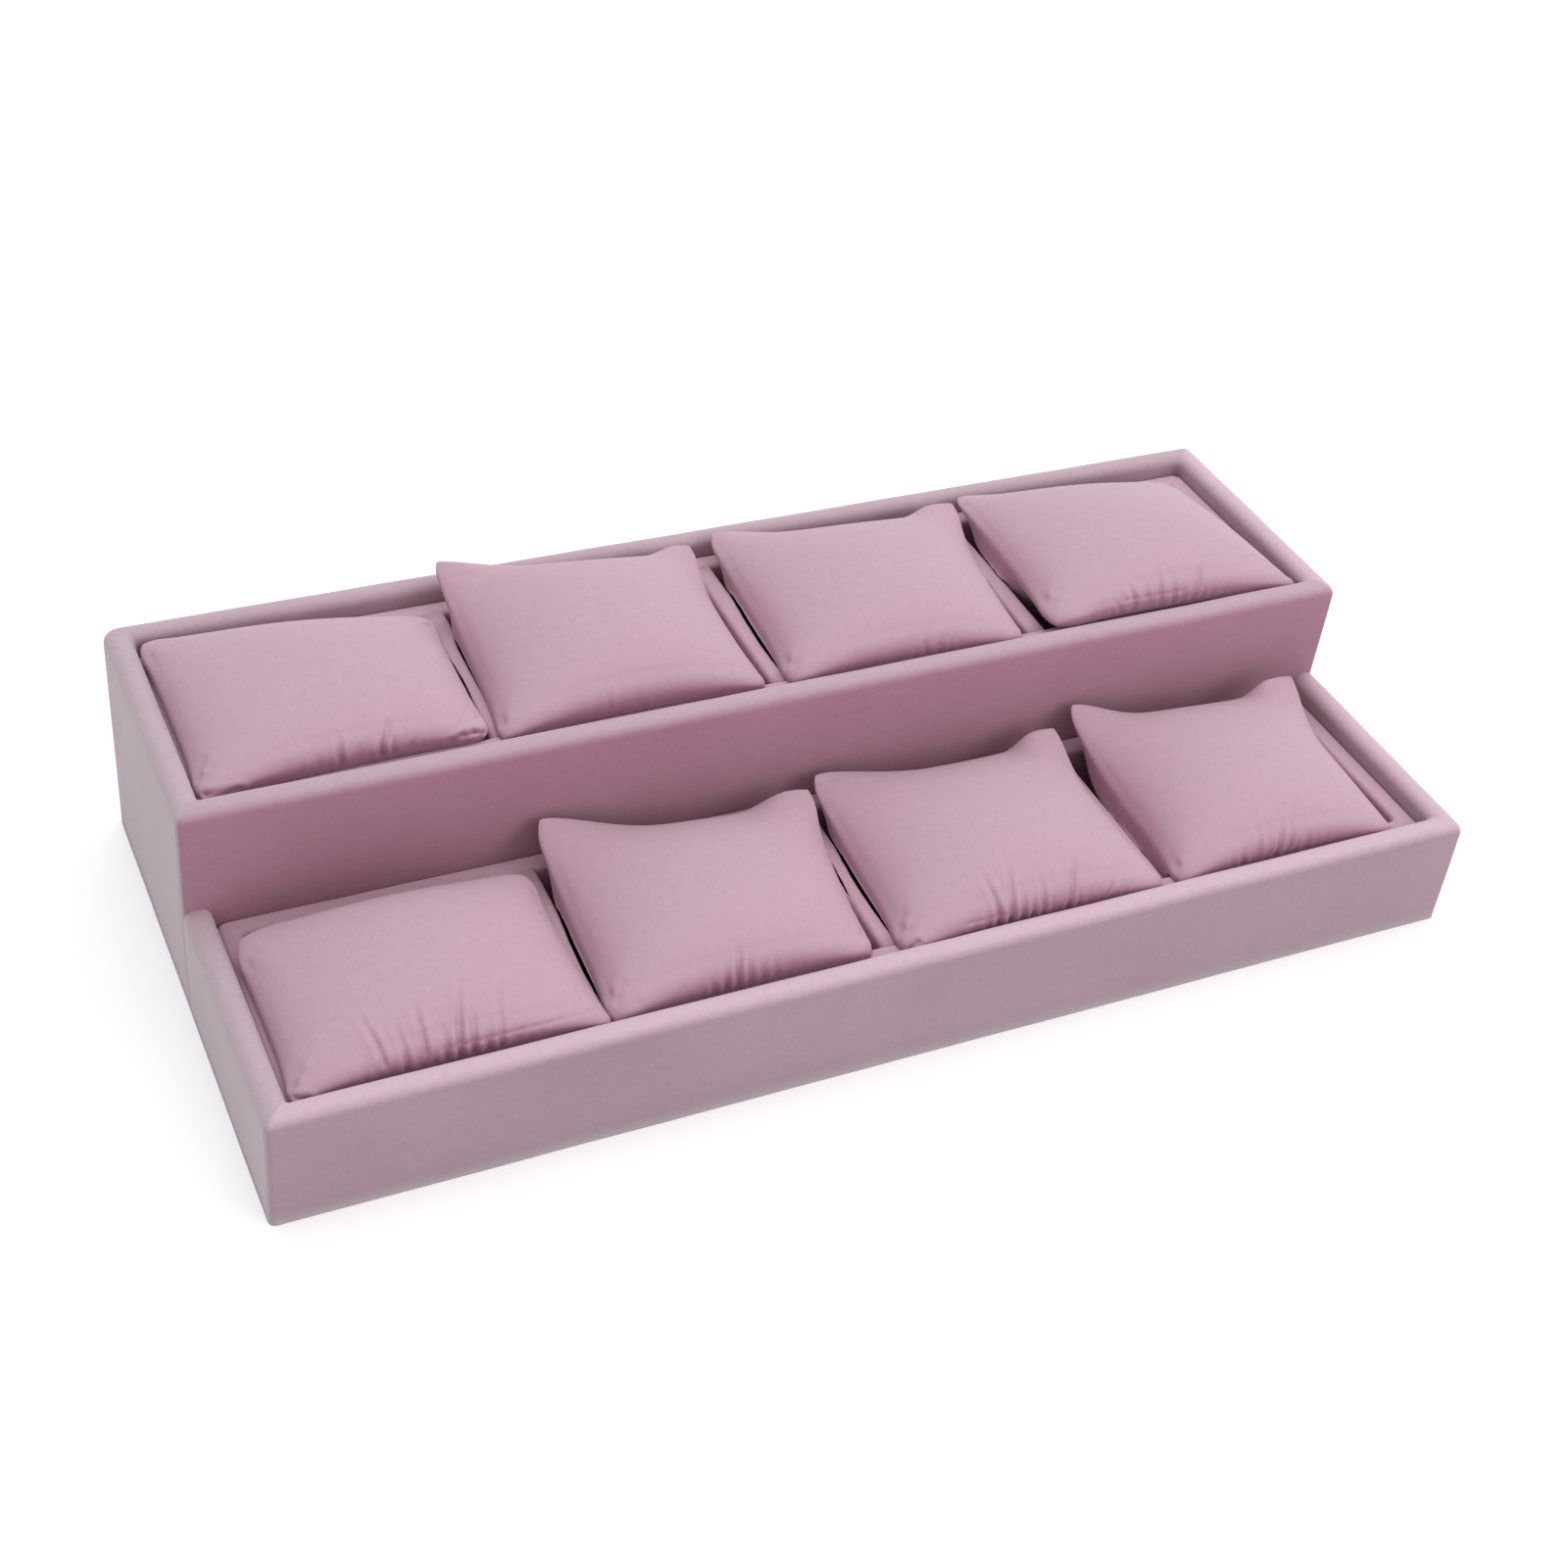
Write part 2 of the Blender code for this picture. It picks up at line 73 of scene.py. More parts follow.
# Paper under the tray, with just enough of its own light to bring it up to white
PAPER_HALF_SIZE = 6
PAPER_COLOUR = (0.82, 0.82, 0.82, 1.0)
PAPER_LIFT = 0.39

# Velvet: patches brushed the other way, tufts and pile, how they shade and lift it, and the slopes
# where light from above is painted on as a paler colour
PATCH_SCALE = 16.0
PATCH_EDGES = (0.35, 0.68)
PATCH_SHARE = 0.5
TUFT_SCALE = 420.0
PILE_SCALE = 2600.0
PILE_HEIGHTS = (0.6, 1.4)
PILE_SHADES = (0.93, 1.06)
# Slopes that count as facing up, where the paler colour is painted on as light from above
PAINTED_LIGHT_SLOPES = (0.1, 1.0)
VELVET_ROUGHNESS = 0.92
VELVET_SPECULAR = 0.12
SHEEN_ROUGHNESS = 0.5
SHEEN_TINT = (1.0, 0.93, 0.97, 1.0)

# Each velvet's colour, its colour where it is brushed the other way, the paler colour painted
# on as light where it faces up, how far that painted light takes over, and the weight of its sheen
VELVETS = {
    "tray_velvet": ((0.40, 0.275, 0.335), (0.35, 0.22, 0.28), (0.66, 0.47, 0.565), 1.0, 0.55),
    # The riser's copy is darker and pinker: painted shade from the lower tier and the pillows in
    # front of it
    "riser_velvet_painted_shade": ((0.40, 0.20, 0.275), (0.35, 0.16, 0.23), (0.53, 0.375, 0.45), 1.0, 0.45),
    # The back wall's copy has a duller top: painted shade on its rim
    "back_velvet_painted_shade": ((0.41, 0.27, 0.33), (0.36, 0.22, 0.28), (0.54, 0.39, 0.465), 1.0, 0.5),
    # The left side's copy is greyer: painted sheen where the wall is seen at a glancing angle
    "side_velvet_painted_sheen": ((0.45, 0.36, 0.41), (0.40, 0.31, 0.36), (0.52, 0.40, 0.46), 1.0, 0.6),
    # The insert's copy is lighter: painted light to brighten the shaded gaps between the pillows
    "insert_velvet": ((0.52, 0.29, 0.385), (0.46, 0.24, 0.33), (0.62, 0.415, 0.505), 0.8, 0.45),
    "pillow_velvet": ((0.40, 0.195, 0.28), (0.36, 0.165, 0.245), (0.575, 0.385, 0.47), 0.92, 0.4),
}
# Which velvet each wall takes: the riser, the back and the left side take copies with painted shade
# or sheen
WALL_VELVETS = {
    "front_wall": "tray_velvet", "riser_wall": "riser_velvet_painted_shade", "back_wall": "back_velvet_painted_shade",
    "right_side_wall": "tray_velvet", "left_side_wall": "side_velvet_painted_sheen",
}

# Softness of the covered boards
CORNER_ARC_STEPS = 9
ROUNDING_STEPS = 8
FACE_STEP = 7 * MM
SAME_POINT = 0.01 * MM
WALL_ROUNDING = 4.2 * MM
WALL_CORNER_OUTER = 2.4 * MM
WALL_CORNER_BACK_LEFT = 4.6 * MM
WALL_CORNER_INNER = 1.6 * MM
STRIP_ROUNDING = 1.9 * MM
STRIP_CORNER_OUTER = 3.4 * MM
STRIP_CORNER_INNER = 1.4 * MM
DIVIDER_OVERRUN = 1.0 * MM
VELVET_UNEVENNESS = 0.16 * MM
VELVET_UNEVEN_SIZE = 26 * MM
VELVET_SEED = 1

# Columns and rows of a pillow's case, and how much they crowd at the seams, in degrees:
# coarse for the simulation, and fine for the shape
CASE_GRID = (28, 24)
CASE_GRID_CROWDING = (70, 70)
FINER = 5
FINE_GRID = (196, 104)
FINE_GRID_CROWDING = (68, 87)

# The case's sewn outline: seams drawn in between the corners, and ears that reach out
FRONT_SEAM_DRAWN_IN = 1.0 * MM
LIFTED_CORNER_CURVE = 4.5
EAR_LENGTH = 0.045
EAR_SPREAD = 0.7
EAR_ROUNDING = 0.22
EAR_ROUNDING_SHARE = 0.26

# Its upper sheet: how high it crowns, how steeply from each seam, and how it overhangs
PILLOW_CROWN = 15.5 * MM
CROWN_AT_SIDES = 0.50
CROWN_AT_FRONT = 0.40
FRONT_OVERHANG = 1.6 * MM
FRONT_OVERHANG_REACH = 0.14
FRONT_OVERHANG_PEAK = 0.6

# Its lower sheet: the belly in the pocket, and the flanks that settle on the strips
PILLOW_BELLY = 34.0 * MM
BELLY_AT_SEAM = 0.5
BELLY_AT_EARS = 0.85
LIFTED_BLUNTNESS = 1.6
LIFTED_FRONT = 3.0 * MM
FLANK_BULGE = 3.0 * MM
FLANK_FALL = 6.0 * MM
FLANK_OVER_STRIP = 3.0 * MM
POCKET_TO_PILLOW = 0.1 * MM
MOUTH_WIDTH = 3.0 * MM
PILLOW_TO_STRIP = 0.4 * MM
CASE_THICKNESS = 0.3 * MM

# Its stuffing: a short cloth simulation, with spare cloth where the seam is gathered
STUFFING_FRAMES = 20
STUFFING_REACH = 2.5 * MM
GATHERED_SPARE = 0.12
GATHERED_WIDTH = 0.12
GATHERED_REACH = 1.5
CLOTH_SETTINGS = {
    "quality": 8, "mass": 0.3, "tension_stiffness": 15, "compression_stiffness": 10,
    "shear_stiffness": 5, "bending_stiffness": 0.05, "shrink_min": 0.0,
    "shrink_max": -GATHERED_SPARE, "use_pressure": True, "uniform_pressure_force": 60.0,
}

# Where each pillow's sewn corners lie, from even places over the strips: right, back and up
# in mm, for the back left, back right, front right and front left corners
PILLOW_OVER_STRIP_X = 1.1 * MM
PILLOW_OVER_STRIP_Y = 4.9 * MM
SEAM_OVER_STRIP = 0.8 * MM
PILLOW_LIE = {
    "upper_pillow_1": ((-5, 1, 4), (-1, -9, 1), (-2, 3, 1), (-5, 0, 0)),
    "upper_pillow_2": ((1, 1, 17), (-4, -8, 12), (-5, 1, 0), (-3, 1, 0)),
    "upper_pillow_3": ((3, 2, 9), (2, -8, 11), (-6, -3, 0), (-1, 0, 0)),
    "upper_pillow_4": ((3, -1, 8), (-5, -7, 3), (5, -2, 1), (0, -2, 4)),
    "lower_pillow_1": ((-2, -12, 5), (1, -11, 4), (3, -1, 0), (-4, -1, 0)),
    "lower_pillow_2": ((3, 0, 17), (3, -8, 11), (-6, 0, 0), (-1, -1, 0)),
    "lower_pillow_3": ((2, -2, 12), (0, -6, 13), (3, -2, 0), (-1, -3, 0)),
    "lower_pillow_4": ((4, -1, 18), (-5, -9, 16), (-7, -3, 0), (4, -1, 0)),
}

# How much further out than its solid's each pillow's tips reach, in mm: back left, back
# right, front right, front left
TIPS_REACH = ((-2.6, 0.0), (0.0, 0.0), (2.0, 0.5), (0.0, 0.0))

# Each pillow's back seam: how much of the back corners' rise it sags by, where its left
# and right ears start and are at full height, how far it is drawn in, in mm, and how
# soon the pillow thins towards it
BACK_SEAMS = {
    "lower_pillow_1": (0.0, (0.0, 1.0), (0.0, 1.0), 0.3, 0.45),
    "lower_pillow_2": (0.52, (0.05, 1.0), (0.42, 0.82), 2.0, 0.7),
    "lower_pillow_3": (0.48, (0.0, 1.0), (0.55, 0.8), 2.0, 0.7),
    "lower_pillow_4": (0.4, (0.35, 1.0), (0.5, 0.76), 2.0, 0.7),
    "upper_pillow_1": (0.0, (0.0, 1.0), (0.0, 1.0), 1.0, 0.45),
    "upper_pillow_2": (0.25, (0.2, 1.0), (0.6, 0.86), 2.0, 0.65),
    "upper_pillow_3": (0.38, (0.2, 1.0), (0.54, 0.78), 2.0, 0.65),
    "upper_pillow_4": (0.1, (0.0, 1.0), (0.0, 1.0), 0.5, 0.6),
}

# Corners rounder than the rest: back left, back right, front right, front left
ROUNDER_CORNERS = {
    "lower_pillow_1": (0.38, 0.3, 0.12, 0.16), "lower_pillow_4": (0.16, 0.2, 0.16, 0.16),
    "upper_pillow_2": (0.12, 0.2, 0.16, 0.16), "upper_pillow_4": (0.16, 0.4, 0.14, 0.26),
}

# Creases, scallops and stitches of the gathered front seams, and how far in from the
# seam and the sides they start
CREASE_WIDTH = 1.0 * MM
CREASE_LIP = 1.9 * MM
CREASE_LIP_SHARE = 0.5
CREASE_FADE = 1.2
CREASE_AT_SEAM = 0.4
CREASE_GROWTH = 0.15
SEAM_SCALLOP = 0.5 * MM
SEAM_SCALLOP_PITCH = 4.2 * MM
SEAM_SCALLOP_REACH = 6.0 * MM
SCALLOPS_FADE = 7.0 * MM
STITCH_ABOVE_SEAM = 6.0 * MM
STITCH_DEPTH = 0.38 * MM
STITCH_WIDTH = 0.55 * MM
STITCH_WAVE = 0.3
STITCHES_FADE = 0.06
PLAIN_SEAM = 0.5 * MM
PLAIN_SIDES = 0.03

# Where each pillow's creases run: along the front seam from -1 to 1 where one starts and
# ends, how far back it ends from -1 at the front seam to 1 at the back, and its depth in mm
CREASES = {
    "lower_pillow_1": (
        (-0.43, -0.52, -0.45, 1.0), (-0.30, -0.32, -0.68, 0.8), (-0.18, -0.17, -0.55, 1.3),
        (-0.05, -0.05, -0.78, 0.7), (0.03, 0.17, -0.36, 1.2), (0.12, 0.18, -0.72, 1.0),
        (0.22, 0.27, -0.84, 0.6), (0.30, 0.38, -0.52, 0.7), (0.42, 0.47, -0.9, 0.4),
    ),
    "lower_pillow_2": (
        (-0.25, -0.28, -0.95, 0.5), (-0.16, -0.15, -0.9, 0.7), (-0.08, 0.0, -0.76, 1.2),
        (0.02, 0.04, -0.86, 0.8), (0.12, 0.13, -0.93, 0.5), (0.22, 0.24, -0.9, 0.4),
    ),
    "lower_pillow_3": (
        (-0.31, -0.36, -0.6, 1.1), (-0.22, -0.13, -0.58, 1.1), (-0.12, -0.11, -0.84, 0.8),
        (-0.05, -0.04, -0.92, 0.6), (0.02, 0.06, -0.75, 0.9), (0.10, 0.12, -0.93, 0.7),
        (0.16, 0.18, -0.92, 0.6), (0.23, 0.40, -0.62, 1.2), (0.52, 0.68, -0.85, 0.5),
    ),
    "lower_pillow_4": (
        (-0.44, -0.45, -0.96, 0.5), (-0.30, -0.27, -0.82, 0.8), (-0.20, -0.18, -0.9, 0.5),
        (-0.12, -0.03, -0.82, 1.2), (-0.01, 0.05, -0.86, 1.1), (0.17, 0.19, -0.93, 0.5),
    ),
    "upper_pillow_1": (
        (-0.19, -0.19, -0.93, 0.6), (-0.05, -0.03, -0.82, 0.9), (0.09, 0.10, -0.92, 0.7),
        (0.24, 0.38, -0.76, 1.2), (0.45, 0.48, -0.95, 0.5),
    ),
    "upper_pillow_2": (
        (-0.2, -0.22, -0.9, 0.4), (0.0, 0.02, -0.88, 0.4),
    ),
    "upper_pillow_3": (
        (0.12, 0.14, -0.9, 0.4), (0.26, 0.32, -0.86, 0.5),
    ),
    "upper_pillow_4": (
        (-0.48, -0.53, -0.93, 0.6), (-0.35, -0.40, -0.84, 0.8), (-0.25, -0.27, -0.85, 0.8),
        (-0.16, -0.10, -0.74, 1.1), (-0.03, -0.02, -0.82, 0.7), (0.15, 0.28, -0.72, 1.2),
    ),
}

# Where a stitched lip shows along a front seam, from -1 to 1
STITCHED = {"lower_pillow_1": (-0.1, 0.97), "upper_pillow_4": (-0.5, 0.1),
            "lower_pillow_3": (-0.6, -0.2)}

# Folds near the corners: from one place to another, u and v, and the depth in mm
FOLDS = {
    "upper_pillow_1": ((-0.97, -0.97, -0.74, -0.995, 0.8), (0.72, -0.998, 0.80, -0.985, 0.7),
                       (0.80, -0.985, 0.88, -0.975, 0.7), (0.88, -0.975, 0.97, -0.985, 0.7)),
    "lower_pillow_1": ((-0.98, -0.96, -0.9, -0.995, 0.7),),
    "lower_pillow_3": ((-0.97, -0.985, -0.9, -0.95, 0.7),),
    "upper_pillow_4": ((0.7, 0.86, 0.92, 0.7, 0.8),),
}
FOLD_WIDTH = 1.1 * MM
FOLD_LIP_SHARE = 0.3

TRAY_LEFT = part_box("left_side_wall")[0].x
TRAY_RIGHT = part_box("right_side_wall")[1].x
TRAY_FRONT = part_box("front_wall")[0].y
TRAY_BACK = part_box("back_wall")[1].y
WALL_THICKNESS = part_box("front_wall")[1].y - TRAY_FRONT
LOWER_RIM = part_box("front_wall")[1].z
UPPER_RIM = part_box("back_wall")[1].z
STEP_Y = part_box("riser_wall")[0].y
RISER_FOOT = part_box("riser_wall")[0].z
QUARTER_TURN = math.pi / 2


def new_object(name, mesh):
    piece = bpy.data.objects.new(name, mesh)
    bpy.context.scene.collection.objects.link(piece)
    return piece


# Materials

def add_node(tree, kind, **values):
    """Add a node and set its sockets by name, or its settings by attribute."""
    node = tree.nodes.new(kind)
    for key, value in values.items():
        if key in node.inputs:
            node.inputs[key].default_value = value
        else:
            setattr(node, key, value)
    return node


def noise_of(tree, place, **values):
    """Fine or coarse noise at a place."""
    node = add_node(tree, "ShaderNodeTexNoise", **values)
    tree.links.new(place, node.inputs["Vector"])
    return node.outputs["Fac"]


def mapped(tree, value, low_high, to=(0.0, 1.0), **settings):
    """A value taken from one span to another."""
    node = add_node(tree, "ShaderNodeMapRange", **settings)
    for key, number in zip(("From Min", "From Max", "To Min", "To Max"), (*low_high, *to)):
        node.inputs[key].default_value = number
    tree.links.new(value, node.inputs["Value"])
    return node.outputs["Result"]


def mixed(tree, share, first, second):
    """The first colour where the share is nought, and the second where it is one."""
    node = add_node(tree, "ShaderNodeMix", data_type="RGBA")
    for key, output in (("Factor", share), ("A", first), ("B", second)):
        tree.links.new(output, node.inputs[key])
    return node.outputs["Result"]


def calculated(tree, operation, first, second):
    """A sum or product of two outputs."""
    node = add_node(tree, "ShaderNodeMath", operation=operation)
    tree.links.new(first, node.inputs[0])
    tree.links.new(second, node.inputs[1])
    return node.outputs[0]


def velvet_group():
    """Shared velvet: brushed patches, fine pile, and a paler colour painted on as light where it
    faces up.
    """
    tree = bpy.data.node_groups.new("velvet_pile", "ShaderNodeTree")
    for name in ("Colour", "Brushed Colour", "Painted Light Colour"):
        tree.interface.new_socket(name=name, in_out="INPUT", socket_type="NodeSocketColor")
    tree.interface.new_socket(name="Painted Light Weight", in_out="INPUT", socket_type="NodeSocketFloat")
    tree.interface.new_socket(name="Colour", in_out="OUTPUT", socket_type="NodeSocketColor")
    tree.interface.new_socket(name="Height", in_out="OUTPUT", socket_type="NodeSocketFloat")
    given = tree.nodes.new("NodeGroupInput").outputs
    out = tree.nodes.new("NodeGroupOutput").inputs
    place = tree.nodes.new("ShaderNodeTexCoord").outputs["Object"]

    patches = noise_of(tree, place, Scale=PATCH_SCALE, Detail=3.0, Roughness=0.5,
                       Distortion=0.6)
    patch_share = mapped(tree, patches, PATCH_EDGES, (0.0, PATCH_SHARE))
    brushed = mixed(tree, patch_share, given["Colour"], given["Brushed Colour"])

    split = tree.nodes.new("ShaderNodeSeparateXYZ")
    tree.links.new(tree.nodes.new("ShaderNodeNewGeometry").outputs["Normal"], split.inputs[0])
    # Painted light: the more the surface faces up, the more of the paler colour it gets
    painted_light_facing_up = mapped(tree, split.outputs["Z"], PAINTED_LIGHT_SLOPES, interpolation_type="SMOOTHSTEP")
    painted_light_share = calculated(tree, "MULTIPLY", painted_light_facing_up, given["Painted Light Weight"])
    with_painted_light = mixed(tree, painted_light_share, brushed, given["Painted Light Colour"])

    pile = noise_of(tree, place, Scale=PILE_SCALE, Detail=2.0, Roughness=0.6)
    tufts = noise_of(tree, place, Scale=TUFT_SCALE, Detail=3.0, Roughness=0.55)
    height = calculated(tree, "ADD", pile, tufts)
    speckled = add_node(tree, "ShaderNodeVectorMath", operation="SCALE")
    tree.links.new(with_painted_light, speckled.inputs[0])
    tree.links.new(mapped(tree, height, PILE_HEIGHTS, PILE_SHADES), speckled.inputs["Scale"])
    tree.links.new(speckled.outputs[0], out["Colour"])
    tree.links.new(height, out["Height"])
    return tree


VELVET_PILE = velvet_group()


def matt_material(name, roughness):
    """A material of its own, with its tree and its shader."""
    material = bpy.data.materials.new(name)
    material.use_nodes = True
    shader = material.node_tree.nodes["Principled BSDF"]
    shader.inputs["Roughness"].default_value = roughness
    return material, material.node_tree, shader


def finish_surface(tree, shader, colour, height, strength, distance):
    """Give a shader its colour and a bump of this height."""
    bump = add_node(tree, "ShaderNodeBump", Strength=strength, Distance=distance)
    tree.links.new(colour, shader.inputs["Base Color"])
    tree.links.new(height, bump.inputs["Height"])
    tree.links.new(bump.outputs["Normal"], shader.inputs["Normal"])


def velvet(name, colour, brushed, painted_light_colour, painted_light_weight, sheen):
    """A velvet whose pile catches light at a glancing angle."""
    material, tree, shader = matt_material(name, VELVET_ROUGHNESS)
    shader.inputs["Specular IOR Level"].default_value = VELVET_SPECULAR
    shader.inputs["Sheen Weight"].default_value = sheen
    shader.inputs["Sheen Roughness"].default_value = SHEEN_ROUGHNESS
    shader.inputs["Sheen Tint"].default_value = SHEEN_TINT
    pile = tree.nodes.new("ShaderNodeGroup")
    pile.node_tree = VELVET_PILE
    pile.inputs["Colour"].default_value = (*colour, 1.0)
    pile.inputs["Brushed Colour"].default_value = (*brushed, 1.0)
    # The paler colour painted on as light where the velvet faces up, and how far it takes over
    pile.inputs["Painted Light Colour"].default_value = (*painted_light_colour, 1.0)
    pile.inputs["Painted Light Weight"].default_value = painted_light_weight
    finish_surface(tree, shader, pile.outputs["Colour"], pile.outputs["Height"], 0.25, 0.2 * MM)
    return material


def plain_material(name, colour, fleck, scale, roughness):
    """Fibreboard or felt: one colour broken up by fine flecks."""
    material, tree, shader = matt_material(name, roughness)
    place = tree.nodes.new("ShaderNodeTexCoord").outputs["Object"]
    fibres = noise_of(tree, place, Scale=scale, Detail=4.0, Roughness=0.65)
    flecked = add_node(tree, "ShaderNodeMix", data_type="RGBA")
    flecked.inputs["A"].default_value = (*colour, 1.0)
    flecked.inputs["B"].default_value = (*fleck, 1.0)
    tree.links.new(fibres, flecked.inputs["Factor"])
    finish_surface(tree, shader, flecked.outputs["Result"], fibres, 0.3, 0.3 * MM)
    return material


# Covered boards and strips

def rounded_profile(thickness, bottom, top, rounding):
    """Section of a covered board, from its outer foot over the top to its inner foot."""
    shoulder = top - rounding
    rise = shoulder - bottom
    steps = max(2, round(rise / FACE_STEP))
    turns = [QUARTER_TURN * k / ROUNDING_STEPS for k in range(ROUNDING_STEPS + 1)]
    section = [(0.0, bottom + rise * k / steps) for k in range(steps)]
    section += [(rounding - rounding * math.cos(turn), shoulder + rounding * math.sin(turn))
                for turn in turns]
    section += [(thickness - rounding + rounding * math.sin(turn),
                 shoulder + rounding * math.cos(turn)) for turn in turns]
    section += [(thickness, shoulder - rise * k / steps) for k in range(1, steps + 1)]
    clean = [section[0]]
    for point in section[1:]:
        if math.dist(point, clean[-1]) > SAME_POINT:
            clean.append(point)
    return clean


def board_line(offset, thickness, length, start, end):
    """Points along a board at one offset from its outer face.

    start and end are the outer and inner corner radii of a mitred corner, or how far
    a plain end runs past the board's length.
    """
    def radius_of(corner):
        return corner[0] + (corner[1] - corner[0]) * offset / thickness

    head, tail = [], []
    if isinstance(start, float):
        first = -start
    else:
        radius = radius_of(start)
        first = offset + radius
        for k in range(CORNER_ARC_STEPS):
            turn = math.pi / 4 * (1 - k / CORNER_ARC_STEPS)
            head.append((first - radius * math.sin(turn), first - radius * math.cos(turn)))
    if isinstance(end, float):
        last = length + end
    else:
        radius = radius_of(end)
        centre = offset + radius
        last = length - centre
        for k in range(1, CORNER_ARC_STEPS + 1):
            turn = math.pi / 4 * k / CORNER_ARC_STEPS
            tail.append((last + radius * math.sin(turn), centre - radius * math.cos(turn)))
    steps = max(2, round(length / FACE_STEP))
    straight = [(first + (last - first) * k / steps, offset) for k in range(steps + 1)]
    return head + straight + tail


def covered_board(bm, section, thickness, length, start, end, place):
    """A closed board of the given section between two corners, put in its place."""
    rows = []
    for offset, height in section:
        line = board_line(offset, thickness, length, start, end)
        rows.append([bm.verts.new(place @ Vector((x, y, height))) for x, y in line])
    for here, there in zip(rows, rows[1:] + rows[:1]):
        for j in range(len(here) - 1):
            bm.faces.new((here[j], here[j + 1], there[j + 1], there[j]))
    bm.faces.new([row[0] for row in rows])
    bm.faces.new([row[-1] for row in reversed(rows)])


def standing(x, y, turn):
    """A board's own axes: along it, in from its outer face, and up."""
    return Matrix.Translation((x, y, 0)) @ Matrix.Rotation(turn, 4, "Z")


def finish_cover(node, bm, material):
    """Turn a bmesh into the slightly uneven velvet cover that stands for a solid."""
    for vert in bm.verts:
        vert.co += noise.noise_vector(vert.co / VELVET_UNEVEN_SIZE) * VELVET_UNEVENNESS
    mesh = bpy.data.meshes.new(node + "_cover")
    bm.to_mesh(mesh)
    bm.free()
    mesh.shade_smooth()
    mesh.materials.append(material)
    piece = new_object(node + "_cover", mesh)
    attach(piece, BODY)
    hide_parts(node)


def make_walls(velvets):
    """Velvet over the front, the stepped sides, the riser and the back."""
    length = TRAY_RIGHT - TRAY_LEFT
    upper_depth = TRAY_BACK - STEP_Y
    lower_depth = STEP_Y - TRAY_FRONT
    corner = (WALL_CORNER_OUTER, WALL_CORNER_INNER)
    soft_corner = (WALL_CORNER_BACK_LEFT, WALL_CORNER_INNER)
    lower = rounded_profile(WALL_THICKNESS, 0, LOWER_RIM, WALL_ROUNDING)
    upper = rounded_profile(WALL_THICKNESS, 0, UPPER_RIM, WALL_ROUNDING)
    riser = rounded_profile(WALL_THICKNESS, RISER_FOOT, UPPER_RIM, WALL_ROUNDING)
    runs = {
        "front_wall": [(lower, length, corner, corner, standing(TRAY_LEFT, TRAY_FRONT, 0))],
        "riser_wall": [(riser, length, corner, corner, standing(TRAY_LEFT, STEP_Y, 0))],
        "back_wall": [(upper, length, corner, soft_corner,
                       standing(TRAY_RIGHT, TRAY_BACK, math.pi))],
        "right_side_wall": [
            (lower, lower_depth, corner, WALL_CORNER_OUTER,
             standing(TRAY_RIGHT, TRAY_FRONT, QUARTER_TURN)),
            (upper, upper_depth, corner, corner, standing(TRAY_RIGHT, STEP_Y, QUARTER_TURN))],
        "left_side_wall": [
            (lower, lower_depth, WALL_CORNER_OUTER, corner,
             standing(TRAY_LEFT, STEP_Y, -QUARTER_TURN)),
            (upper, upper_depth, soft_corner, corner,
             standing(TRAY_LEFT, TRAY_BACK, -QUARTER_TURN))],
    }
    for name, boards in runs.items():
        bm = bmesh.new()
        for section, run, start, end, place in boards:
            covered_board(bm, section, WALL_THICKNESS, run, start, end, place)
        finish_cover(name, bm, velvets[WALL_VELVETS[name]])


def make_insert(tier, material):
    """Velvet-covered border strips and dividers of one insert."""
    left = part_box(tier + "_left_strip")[0].x
    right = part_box(tier + "_right_strip")[1].x
    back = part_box(tier + "_back_strip")[1].y
    low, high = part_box(tier + "_front_strip")
    front, thickness = low.y, high.y - low.y
    corner = (STRIP_CORNER_OUTER, STRIP_CORNER_INNER)
    section = rounded_profile(thickness, low.z, high.z, STRIP_ROUNDING)
    runs = [("front_strip", right - left, corner, standing(left, front, 0)),
            ("right_strip", back - front, corner, standing(right, front, QUARTER_TURN)),
            ("back_strip", right - left, corner, standing(right, back, math.pi)),
            ("left_strip", back - front, corner, standing(left, back, -QUARTER_TURN))]
    for number in (1, 2, 3):
        name = f"divider_{number}"
        low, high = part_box(f"{tier}_{name}")
        runs.append((name, high.y - low.y, DIVIDER_OVERRUN,
                     standing(high.x, low.y, QUARTER_TURN)))
    for name, length, end, place in runs:
        bm = bmesh.new()
        covered_board(bm, section, thickness, length, end, end, place)
        finish_cover(f"{tier}_{name}", bm, material)


# Pillows

def pocket_of(tier, number):
    """Lowest and highest corner of a pocket, between its strips and over its floor."""
    left = f"{tier}_left_strip" if number == 1 else f"{tier}_divider_{number - 1}"
    right = f"{tier}_right_strip" if number == 4 else f"{tier}_divider_{number}"
    low = Vector((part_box(left)[1].x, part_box(tier + "_front_strip")[1].y,
                  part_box(tier + "_insert_floor")[1].z))
    high = Vector((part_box(right)[0].x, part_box(tier + "_back_strip")[0].y,
                   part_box(tier + "_front_strip")[1].z))
    return low, high


